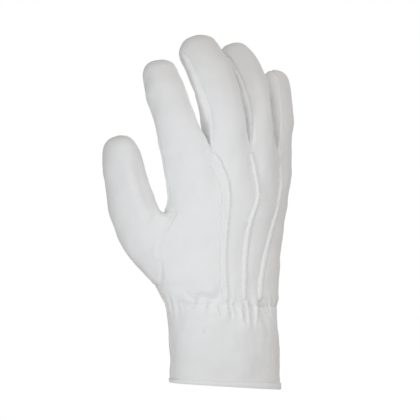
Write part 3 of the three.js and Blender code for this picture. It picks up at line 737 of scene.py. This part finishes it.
# The three points, as tucks over the back from a crotch to the wrist.
tucks = [
    dict(name="tuck_1", node="back_point_1", round=False, topWidth=7.4, width=4.2, height=1.9, route=[
        (-13.8, 161), (-9.9, 152), (-6.3, 142), (-4.8, 129), (-6.6, 104), (-8.0, 78), (-7.0, 58)]),
    dict(name="tuck_2", node="back_point_2", round=True, topWidth=2.6, width=4.2, height=1.6, route=[
        (15.8, 162.5), (18.6, 148), (20.2, 132), (14.6, 115), (10.6, 95), (8.4, 78), (6.8, 59.5)]),
    dict(name="tuck_3", node="back_point_3", round=True, topWidth=2.8, width=4.2, height=1.5, route=[
        (42.9, 154), (41.4, 135), (34.0, 111), (27.0, 91), (22.4, 74), (19.4, 59)]),
]
tuckValley = dict(depth=0.7, wider=1.5, endFade=0.08, steps=4)
facingTurn = 0.3


def strokesLift():
    flat = skin[:, [0, 2]]
    onBack = sum(strokeLift(flat, **stroke) for stroke in backStrokes)
    for tuck in tucks:
        route, _ = smoothRoute(tuck["route"], tuckValley["steps"])
        width = tuck["width"] / 2 + tuckValley["wider"]
        onBack += strokeLift(flat, route, width, -tuckValley["depth"], tuckValley["endFade"])
    onPalm = sum(strokeLift(flat, **stroke) for stroke in palmStrokes)
    onBoth = sum(strokeLift(flat, **stroke) for stroke in partingStrokes)
    facing = smoothStep(-normals[:, 1] / facingTurn)
    return onBack * facing + onPalm * (1 - facing) + onBoth


# Creases across the inner side of each finger at its two joints, by their share of its length.
jointCreases = tableOf(
    "share height width",
    (0.28, -0.55, 1.6),
    (0.34, 0.3, 1.8),
    (0.66, -0.45, 1.4),
)
creaseReach = dict(palm=0.6, sides=1.25, depth=1.4, fade=0.3)


def creaseLift():
    lift = np.zeros(len(skin))
    for form in fingerForms:
        low, high = form["sections"][0]["z"], form["sections"][-1]["z"]
        for crease in jointCreases:
            section = fingerSection(form, mix(low, high, crease["share"]))
            offset = skin - section["centre"]
            forward = offset @ section["axis"]
            deep = -(offset @ section["back"]) / section["halfDepth"]
            wide = np.abs(offset @ section["across"]) / section["halfWidth"]
            near = smoothStep(deep / creaseReach["palm"])
            near = near * rampDown(wide, creaseReach["sides"], creaseReach["fade"])
            near = near * rampDown(deep, creaseReach["depth"], creaseReach["fade"])
            lift += crease["height"] * hill(forward, crease["width"]) * near
    return lift


# Slow swells of the soft cloth, as a sum of waves with fixed random directions.
softWaves = tableOf(
    "length height", (34, 0.16), (26, 0.14), (19, 0.11), (14, 0.08), (10, 0.05), (7, 0.03))
softSeed, softRepeats = 11, 2


def softLift():
    random = np.random.default_rng(softSeed)
    lift = np.zeros(len(skin))
    for wave in softWaves:
        for _ in range(softRepeats):
            way = unit(random.normal(size=3)) * 2 * math.pi / wave["length"]
            bend = unit(random.normal(size=3)) * math.pi / wave["length"]
            start = random.uniform(0, 2 * math.pi)
            lift += wave["height"] * np.sin(skin @ way + start + np.sin(skin @ bend))
    return lift


print("fine form")
plainEdge, plainFade = 4, 8  # the cuff stays smooth under its hem
hemFree = rampUp(skin[:, 2] + hemSlope * skin[:, 0], plainEdge, plainFade)
lift = (gatherLift() + strokesLift() + creaseLift() + softLift()) * hemFree + seamLift()
skin = skin + normals * lift[:, None]
normals = vertexNormals(skin, quads)


# Materials. Colours are sRGB hex values, made linear in one place.
def colour(hexValue):
    parts = [int(hexValue[k:k + 2], 16) / 255 for k in (0, 2, 4)]
    linear = [c / 12.92 if c <= 0.04045 else ((c + 0.055) / 1.055) ** 2.4 for c in parts]
    return (*linear, 1)


def addNode(tree, kind, settings=None, links=None):
    node = tree.nodes.new(kind)
    for key, value in (settings or {}).items():
        if isinstance(key, int) or key in node.inputs:
            node.inputs[key].default_value = value
        else:
            setattr(node, key, value)
    for key, source in (links or {}).items():
        tree.links.new(source, node.inputs[key])
    return node


# A knitted or twisted white textile. Soft patches vary its colour, fine ribs along and across the
# cloth make the knit, a fine grain and sheen give the fuzz of its fibres. Mottle, pitches, fibre
# and depth are millimetres.
courseShare = 0.45


def textile(name, look):
    material = bpy.data.materials.new(name)
    material.use_nodes = True
    tree = material.node_tree
    tree.nodes.clear()
    place = addNode(tree, "ShaderNodeTexCoord").outputs["Object"]

    def ribs(source, pitch):
        waves = {"operation": "MULTIPLY", 1: 2 * math.pi / (pitch * mm)}
        turn = addNode(tree, "ShaderNodeMath", waves, {0: source})
        return addNode(tree, "ShaderNodeMath", {"operation": "SINE"}, {0: turn.outputs[0]}).outputs[0]

    patches = {"Scale": 1 / (look["mottle"] * mm), "Detail": 3, "Roughness": 0.5}
    mottle = addNode(tree, "ShaderNodeTexNoise", patches, {"Vector": place})
    shades = {"data_type": "RGBA", 6: colour(look["light"]), 7: colour(look["dark"])}
    tint = addNode(tree, "ShaderNodeMix", shades, {0: mottle.outputs["Fac"]})
    axes = addNode(tree, "ShaderNodeSeparateXYZ", None, {"Vector": place}).outputs
    across = addNode(tree, "ShaderNodeMath", {"operation": "ADD"}, {0: axes["X"], 1: axes["Y"]})
    wales = ribs(across.outputs[0], look["walePitch"])
    courses = ribs(axes["Z"], look["coursePitch"])
    rows = {"operation": "MULTIPLY_ADD", 1: courseShare}
    knit = addNode(tree, "ShaderNodeMath", rows, {0: courses, 2: wales})
    fibres = {"Scale": 1 / (look["fibre"] * mm), "Detail": 2, "Roughness": 0.6}
    bloom = addNode(tree, "ShaderNodeTexNoise", fibres, {"Vector": place})
    onKnit = {"operation": "MULTIPLY_ADD", 1: look["fuzz"]}
    surface = addNode(tree, "ShaderNodeMath", onKnit, {0: bloom.outputs["Fac"], 2: knit.outputs[0]})
    relief = {"Strength": look["bump"], "Distance": look["depth"] * mm}
    bump = addNode(tree, "ShaderNodeBump", relief, {"Height": surface.outputs[0]})
    cloth = {
        "Roughness": look["roughness"],
        "IOR": 1.5,
        "Specular IOR Level": look["specular"],
        "Sheen Weight": look["sheen"],
        "Sheen Roughness": 0.45,
        "Sheen Tint": colour("ffffff"),
        "Subsurface Weight": look["scatter"],
        "Subsurface Radius": (0.0016, 0.0015, 0.0014),
        "Subsurface Scale": 1.0,
    }
    inputs = {"Base Color": tint.outputs["Result"], "Normal": bump.outputs["Normal"]}
    shader = addNode(tree, "ShaderNodeBsdfPrincipled", cloth, inputs)
    addNode(tree, "ShaderNodeOutputMaterial", None, {"Surface": shader.outputs["BSDF"]})
    return material


# Interlock cotton jersey, bleached: fine upright wales of 0.6 mm, drawn at 0.75 mm so that they
# hold at this size, rows of 0.55 mm, and a matt fuzzy bloom.
jerseyLook = dict(
    light="f6f6f6", dark="eeeeee", mottle=18.2, walePitch=0.75, coursePitch=0.55, fibre=0.385,
    fuzz=1.4, bump=0.25, depth=0.05, roughness=0.92, specular=0.25, sheen=0.3, scatter=0.12)
jersey = textile("cotton_jersey_bleached", jerseyLook)
# The same jersey cut crosswise for the strips and doubled for the hem: its wales and rows change
# places, and its colour is a shade lighter, which is painted light for the brighter strips and hem.
crosswiseJerseyPaintedLight = textile("cotton_jersey_crosswise_painted_light", {
    **jerseyLook, "light": "fdfdfd", "dark": "f6f6f6", "walePitch": 0.55, "coursePitch": 0.75})
# Spun polyester sewing thread, smoother than the jersey, a shade brighter: its own whiter colour and
# painted light that lifts the shade along the hem's chain and loops.
thread = textile("spun_polyester_thread_painted_light", dict(
    light="ffffff", dark="f8f8f7", mottle=6.25, walePitch=0.32, coursePitch=0.32, fibre=0.25,
    fuzz=0.8, bump=0.3, depth=0.05, roughness=0.7, specular=0.4, sheen=0.15, scatter=0.05))
# Covered rubber elastic: a greyer, harder braid.
elastic = textile("braided_elastic", dict(
    light="e4e4e2", dark="d2d2cf", mottle=5, walePitch=0.9, coursePitch=0.45, fibre=0.333,
    fuzz=0.6, bump=0.5, depth=0.12, roughness=0.75, specular=0.35, sheen=0.1, scatter=0.05))


def addMesh(name, points, faces, material, replaced=(), shading=None):
    mesh = bpy.data.meshes.new(name)
    mesh.from_pydata((np.asarray(points) * mm).tolist(), [], faces)
    mesh.polygons.foreach_set("use_smooth", [True] * len(mesh.polygons))
    mesh.materials.append(material)
    if shading is not None:
        mesh.normals_split_custom_set_from_vertices(shading.tolist())
    obj = bpy.data.objects.new(name, mesh)
    bpy.context.scene.collection.objects.link(obj)
    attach(obj, "root")
    if replaced:
        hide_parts(*replaced)


# A sewn piece of the shell: its fine outer skin, an inner skin of every second point, and a rim
# that joins the two along its border.
innerSkin = skin[:coarseCount] - wall * normals[:coarseCount]
allPoints = np.concatenate([skin, innerSkin])
allNormals = np.concatenate([normals, -normals[:coarseCount]])


def sewnPanel(name, node):
    index = pieceNames.index(name)
    outer = quads[pieces == index]
    inner = coarseQuads[coarsePieces == index]
    a = inner.ravel()
    b = np.roll(inner, -1, axis=1).ravel()
    ways = a * coarseCount + b
    border = ~np.isin(ways, b * coarseCount + a)
    a, b = a[border], b[border]
    keys = np.minimum(a, b) * coarseCount + np.maximum(a, b)
    middle = coarseCount + np.searchsorted(edgeIndex[0], keys)
    rim = np.stack([b, middle, a, a + len(skin), b + len(skin)], 1)
    backs = inner[:, ::-1] + len(skin)
    corners = np.concatenate([outer.ravel(), backs.ravel(), rim.ravel()])
    used, places = np.unique(corners, return_inverse=True)
    cut = [outer.size, outer.size + backs.size]
    faces = places[:cut[0]].reshape(-1, 4).tolist() + places[cut[0]:cut[1]].reshape(-1, 4).tolist()
    faces += places[cut[1]:].reshape(-1, 5).tolist()
    # the finger strips take the lighter jersey, whose lighter colour is painted light
    cloth = crosswiseJerseyPaintedLight if "strip" in name else jersey
    addMesh(name, allPoints[used], faces, cloth, [node], allNormals[used])


print("sewn pieces")
for name, node in nodeOf.items():
    sewnPanel(name, node)


# Points and faces of a sweep through rings of equal count. A closed one joins its ends.
def sweep(rings, closed):
    rings = np.asarray(rings)
    steps, count = rings.shape[:2]
    faces = []
    for k in range(steps if closed else steps - 1):
        for i in range(count):
            j = (i + 1) % count
            n = (k + 1) % steps
            faces.append([k * count + i, k * count + j, n * count + j, n * count + i])
    if not closed:
        faces.append(list(range(count))[::-1])
        faces.append([(steps - 1) * count + i for i in range(count)])
    return rings.reshape(-1, 3), faces


# The back's surface under a place seen from the back, and its normal there.
backQuads = quads[pieces == pieceNames.index("back_panel")]
backTree = bvhtree.BVHTree.FromPolygons(skin.tolist(), backQuads.tolist())
beforeBack = -200


def onBack(x, z):
    place, normal, _, _ = backTree.ray_cast(Vector((x, beforeBack, z)), Vector((0, 1, 0)))
    if place is None:
        place, normal, _, _ = backTree.find_nearest(Vector((x, 0, z)))
    return np.array(place), np.array(normal)


# A tuck: the back's cloth folded up and sewn along its foot. The wide one lies flat, rises a
# little to the right and falls steeply there, and the narrow ones are round. Profiles as shares
# of half their width and height.
flatProfile = [
    (-1.18, -0.45), (-1.02, 0.05), (-0.92, 0.5), (-0.76, 0.8), (-0.45, 0.84), (-0.1, 0.86),
    (0.25, 0.92), (0.55, 1.0), (0.82, 1.0), (0.98, 0.55), (1.06, -0.1), (1.1, -0.5),
]
roundProfile = [
    (-1.16, -0.45), (-1.0, 0.05), (-0.86, 0.42), (-0.64, 0.74), (-0.36, 0.93), (-0.05, 1.0),
    (0.26, 0.97), (0.55, 0.82), (0.8, 0.52), (0.97, 0.12), (1.06, -0.2), (1.1, -0.5),
]
tuckForm = dict(
    routeSteps=12, step=0.55, endLength=5, endHeight=0.2, endWidth=0.75, evenFrom=0.75,
    puckerLength=3.4, puckerWander=7, pucker=0.06, swayLength=7.3, swayStart=1, sway=0.1)


# The width changes from the crotch on, down to where it stays even.
def tuckWidth(tuck, share):
    return mix(tuck["topWidth"], tuck["width"], float(smoothStep(share / tuckForm["evenFrom"])))


# The place s millimetres along a route, and the way across it to the right.
def acrossRoute(route, reach, s):
    def at(place):
        return np.array([np.interp(place, reach, route[:, k]) for k in (0, 1)])

    way = unit(at(s + 1) - at(s - 1))
    side = np.array([-way[1], way[0]])
    return at(s), side if side[0] > 0 else -side


def tuckPiece(tuck):
    route, reach = smoothRoute(tuck["route"], tuckForm["routeSteps"])
    rings = []
    for s in np.arange(0, reach[-1], tuckForm["step"]):
        middle, side = acrossRoute(route, reach, s)
        wander = math.sin(s / tuckForm["puckerWander"])
        wave = math.sin(2 * math.pi * s / tuckForm["puckerLength"] + wander)
        slow = math.sin(2 * math.pi * s / tuckForm["swayLength"] + tuckForm["swayStart"])
        sway = tuckForm["sway"] * (slow + wave)
        fromEnd = min(s, reach[-1] - s) / tuckForm["endLength"]
        full = float(smoothStep(mix(tuckForm["endHeight"], 1, fromEnd)))
        height = tuck["height"] * (1 + tuckForm["pucker"] * wave) * full
        halfWidth = tuckWidth(tuck, s / reach[-1]) / 2 * mix(tuckForm["endWidth"], 1, full)
        _, normal = onBack(*middle)
        ring = []
        for across, up in roundProfile if tuck["round"] else flatProfile:
            place, _ = onBack(*(middle + side * (across * halfWidth + sway)))
            ring.append(place + normal * (up * height if up > 0 else up))
        rings.append(ring)
    points, faces = sweep(rings, False)
    addMesh(tuck["name"], points, faces, jersey, [tuck["node"]])


print("tucks")
for tuck in tucks:
    tuckPiece(tuck)


# The cuff's turned hem: a band of cloth folded round the wall's edge. Its profile is how far out
# of the wall and how far up each corner lies.
hemProfile = [
    (0.02, 4.0), (0.16, 4.1), (0.32, 3.75), (0.38, 2.6), (0.36, 1.0), (0.26, 0.1), (0.02, -0.4),
    (-0.6, -0.56), (-1.3, -0.4), (-1.66, 0.1), (-1.78, 1.0), (-1.8, 2.6), (-1.74, 3.75),
    (-1.52, 4.1), (-1.3, 3.9), (-1.26, 1.3), (-0.6, 1.1), (0.06, 1.3),
]
hem = dict(steps=480, narrowAbove=1.3, narrowShare=0.3, narrowReach=42)


# The hem is narrower towards the thumb: how far up a corner lies at a place round the cuff.
def hemUp(up, x):
    share = mix(hem["narrowShare"], 1, clamp01((x / hem["narrowReach"] + 1) / 2))
    return mix(hem["narrowAbove"], up, share) if up > hem["narrowAbove"] else up


def hemProfileAt(place):
    return [(out, hemUp(up, place[0])) for out, up in hemProfile]


# Rings that follow the cuff at a height, from a profile of pairs that may change on the way round.
def ringsRoundCuff(z, profileAt, steps):
    columns = np.arange(steps) * aroundPalm / steps
    places = np.array([bodyPoint(column, z) for column in columns])
    along = unit((np.roll(places, -1, axis=0) - np.roll(places, 1, axis=0)) * np.array([1, 1, 0]))
    outward = np.stack([along[:, 1], -along[:, 0], np.zeros(steps)], 1)
    rings = []
    for k in range(steps):
        profile = profileAt(places[k])
        rings.append([places[k] + outward[k] * out + np.array([0, 0, up]) for out, up in profile])
    return rings, places, outward, along


hemRings, hemPlaces, hemOutward, hemAlong = ringsRoundCuff(0, hemProfileAt, hem["steps"])
hemPoints, hemFaces = sweep(hemRings, True)
# The hem band takes the lighter jersey, whose lighter colour is painted light.
addMesh("hem_band", hemPoints, hemFaces, crosswiseJerseyPaintedLight, ["cuff_hem"])

threadEnd = 0.35
offAxis = (0.31, 0.17, 0.93)  # a way that no thread runs in


# A thread along a path: a round tube with narrowed ends.
def threadTube(path, radius, sides=6):
    path = np.asarray(path)
    way = unit(np.gradient(path, axis=0))
    first = unit(np.cross(way, np.array(offAxis)))
    second = np.cross(way, first)
    angle = np.arange(sides) * 2 * math.pi / sides
    taper = np.ones(len(path))
    taper[[0, -1]] = threadEnd
    around = first[:, None] * np.cos(angle)[:, None] + second[:, None] * np.sin(angle)[:, None]
    return sweep(path[:, None] + radius * taper[:, None, None] * around, False)


def joined(parts):
    points, faces, count = [], [], 0
    for partPoints, partFaces in parts:
        points.append(partPoints)
        faces += [[i + count for i in face] for face in partFaces]
        count += len(partPoints)
    return np.concatenate(points), faces


# Overlock thread over the hem: slanted loops from the top of the band outside, round its edge and
# up inside, with a chain along the top that swings out and down at every half loop.
overlock = dict(
    pitch=1.25, slant=0.9, radius=0.15, chainOut=0.3, chainHeight=3.9, chainSwing=0.24,
    chainDrop=0.12)
loopPath = [
    (0.2, 4.1), (0.36, 3.8), (0.45, 2.6), (0.43, 1.1), (0.33, 0.04), (0.06, -0.5),
    (-0.6, -0.68), (-1.34, -0.5), (-1.74, 0.04), (-1.86, 1.1), (-1.88, 2.6), (-1.8, 3.9),
]


# A place by the hem at step k round the cuff: so far out of the wall, along its edge and up.
def byHem(k, out, shift, height, drop=0):
    up = hemUp(height, hemPlaces[k][0]) - drop
    return hemPlaces[k] + hemOutward[k] * out + hemAlong[k] * shift + np.array([0, 0, up])


def overlockThread():
    girth = np.linalg.norm(hemPlaces - np.roll(hemPlaces, 1, axis=0), axis=1).sum()
    count = round(girth / overlock["pitch"])
    parts = []
    chain = []
    for loop in range(count):
        k = int(loop * hem["steps"] / count)
        path = []
        for step, (out, up) in enumerate(loopPath):
            shift = overlock["slant"] * (step / (len(loopPath) - 1) - 0.5)
            path.append(byHem(k, out, shift, up))
        parts.append(threadTube(path, overlock["radius"]))
        for half, way in ((0, -1), (0.5, 1)):
            out = overlock["chainOut"] + overlock["chainSwing"] * way / 4
            shift = half * overlock["pitch"]
            chain.append(byHem(k, out, shift, overlock["chainHeight"], overlock["chainDrop"] * way))
    parts.append(threadTube(chain + chain[:1], overlock["radius"]))
    return joined(parts)


print("hem")
overlockPoints, overlockFaces = overlockThread()
# the overlock thread's brighter colour is partly painted light
addMesh("hem_overlock", overlockPoints, overlockFaces, thread)

# The wrist elastic inside the gathers: a flat braid with four cords in it.
elasticForm = dict(inset=-3.28, thick=0.8, width=5, cords=4, cordDepth=0.3, points=16, steps=240)


def elasticProfile(place):
    width, inset = elasticForm["width"], elasticForm["inset"]
    shares = [i / elasticForm["points"] for i in range(elasticForm["points"] + 1)]
    outside = [(inset, width * (0.5 - share)) for share in shares]
    inside = []
    for share in shares:
        cord = abs(math.sin(math.pi * elasticForm["cords"] * share))
        thick = elasticForm["thick"] * mix(1, cord, elasticForm["cordDepth"])
        inside.append((inset - thick, width * (share - 0.5)))
    return outside + inside


print("elastic")
elasticRings, _, _, _ = ringsRoundCuff(elasticZ, elasticProfile, elasticForm["steps"])
elasticPoints, elasticFaces = sweep(elasticRings, True)
addMesh("elastic_braid", elasticPoints, elasticFaces, elastic, ["wrist_elastic"])

# Straight stitches along the left foot of each tuck.
stitch = dict(
    pitch=2.6, length=1.9, radius=0.15, rise=0.16, sunk=0.05, beside=0.35, fromEnd=2, steps=4)


def tuckStitches(tuck):
    route, reach = smoothRoute(tuck["route"], tuckForm["routeSteps"])
    parts = []
    for s in np.arange(stitch["fromEnd"], reach[-1] - stitch["fromEnd"], stitch["pitch"]):
        path = []
        for step in range(stitch["steps"] + 1):
            share = step / stitch["steps"]
            at = s + stitch["length"] * share
            middle, side = acrossRoute(route, reach, at)
            offset = -tuckWidth(tuck, at / reach[-1]) / 2 - stitch["beside"]
            place, normal = onBack(*(middle + side * offset))
            rise = stitch["rise"] * math.sin(math.pi * share) - stitch["sunk"]
            path.append(place + normal * rise)
        parts.append(threadTube(path, stitch["radius"]))
    return joined(parts)


print("stitches")
for number, tuck in enumerate(tucks, 1):
    stitchPoints, stitchFaces = tuckStitches(tuck)
    addMesh(f"tuck_stitches_{number}", stitchPoints, stitchFaces, thread)

print("camera, light and ground")
# The camera stands at the photograph's angle: level, 20 degrees round towards the thumb. A long
# lens keeps the glove's proportions nearly those of a parallel view.
cameraTurn = math.radians(-20)
cameraBack = Vector((math.sin(cameraTurn), -math.cos(cameraTurn), 0))
cameraRight = Vector((math.cos(cameraTurn), math.sin(cameraTurn), 0))
viewCentre = Vector((-0.0102, 0.0037, 0.1225))
viewHeight = 0.294
cameraData = bpy.data.cameras.new("camera")
cameraData.lens = 300
cameraDistance = viewHeight * cameraData.lens / cameraData.sensor_width
camera = bpy.data.objects.new("camera", cameraData)
camera.location = viewCentre + cameraBack * cameraDistance
camera.rotation_mode = "QUATERNION"
camera.rotation_quaternion = (-cameraBack).to_track_quat("-Z", "Y")
cameraData.clip_end = 50
bpy.context.scene.collection.objects.link(camera)
bpy.context.scene.camera = camera


# Soft studio light: a small panel close in front of the back, which falls off towards the
# fingertips and the cuff, a low one from the left that rakes the folds, a large warm one from the
# upper right, and one behind for the palm. Right, back and up say which way each one stands.
backCentre = Vector((0.008, -0.012, 0.125))
lamps = tableOf(
    "name target right back up distance size power tint",
    ("key_front", backCentre, 0.04, 1, 0.02, 0.22, 0.11, 0.137, "f1f8ff"),
    ("rake_left", viewCentre, -1, 1.35, -0.6, 1.8, 0.4, 6.8, "fbfdff"),
    ("fill_right", viewCentre, 1, 0.6, 1.4, 1.8, 1.0, 6.6, "fff5ee"),
    ("palm_light", viewCentre, 0.35, -1, 0.35, 1.6, 0.7, 5, "ffffff"),
)


def softPanel(name, target, right, back, up, distance, size, power, tint):
    towards = cameraRight * right + cameraBack * back + Vector((0, 0, up))
    data = bpy.data.lights.new(name, "AREA")
    data.shape = "SQUARE"
    data.size = size
    data.energy = power
    data.color = colour(tint)[:3]
    panel = bpy.data.objects.new(name, data)
    panel.location = target + towards.normalized() * distance
    panel.rotation_mode = "QUATERNION"
    panel.rotation_quaternion = (-towards).to_track_quat("-Z", "Y")
    panel.visible_camera = False
    bpy.context.scene.collection.objects.link(panel)


for lamp in lamps:
    softPanel(**lamp)

# White surroundings: full white where the camera sees them, dimmer as light on the glove.
world = bpy.data.worlds.new("white_studio")
world.use_nodes = True
worldTree = world.node_tree
worldTree.nodes.clear()
ambient = addNode(worldTree, "ShaderNodeBackground", {"Color": colour("fffefc"), "Strength": 0.385})
ground = addNode(worldTree, "ShaderNodeBackground", {"Color": colour("ffffff"), "Strength": 1.0})
path = addNode(worldTree, "ShaderNodeLightPath")
shares = {0: path.outputs["Is Camera Ray"], 1: ambient.outputs[0], 2: ground.outputs[0]}
blend = addNode(worldTree, "ShaderNodeMixShader", None, shares)
addNode(worldTree, "ShaderNodeOutputWorld", None, {"Surface": blend.outputs[0]})
bpy.context.scene.world = world
bpy.context.scene.view_settings.view_transform = "Standard"

# A plain pale floor, far enough below that the level camera doesn't see it.
floorSize, floorDrop = 1.1, 0.32
floorMesh = bpy.data.meshes.new("floor")
half = floorSize / 2
floorCorners = [(x * half, y * half, -floorDrop) for x, y in ((-1, -1), (1, -1), (1, 1), (-1, 1))]
floorMesh.from_pydata(floorCorners, [], [(0, 1, 2, 3)])
floorMaterial = bpy.data.materials.new("pale_floor_paint")
floorMaterial.use_nodes = True
floorShader = floorMaterial.node_tree.nodes["Principled BSDF"]
floorShader.inputs["Base Color"].default_value = colour("f2f2f2")
floorShader.inputs["Roughness"].default_value = 0.8
floorMesh.materials.append(floorMaterial)
floor = bpy.data.objects.new("floor", floorMesh)
bpy.context.scene.collection.objects.link(floor)
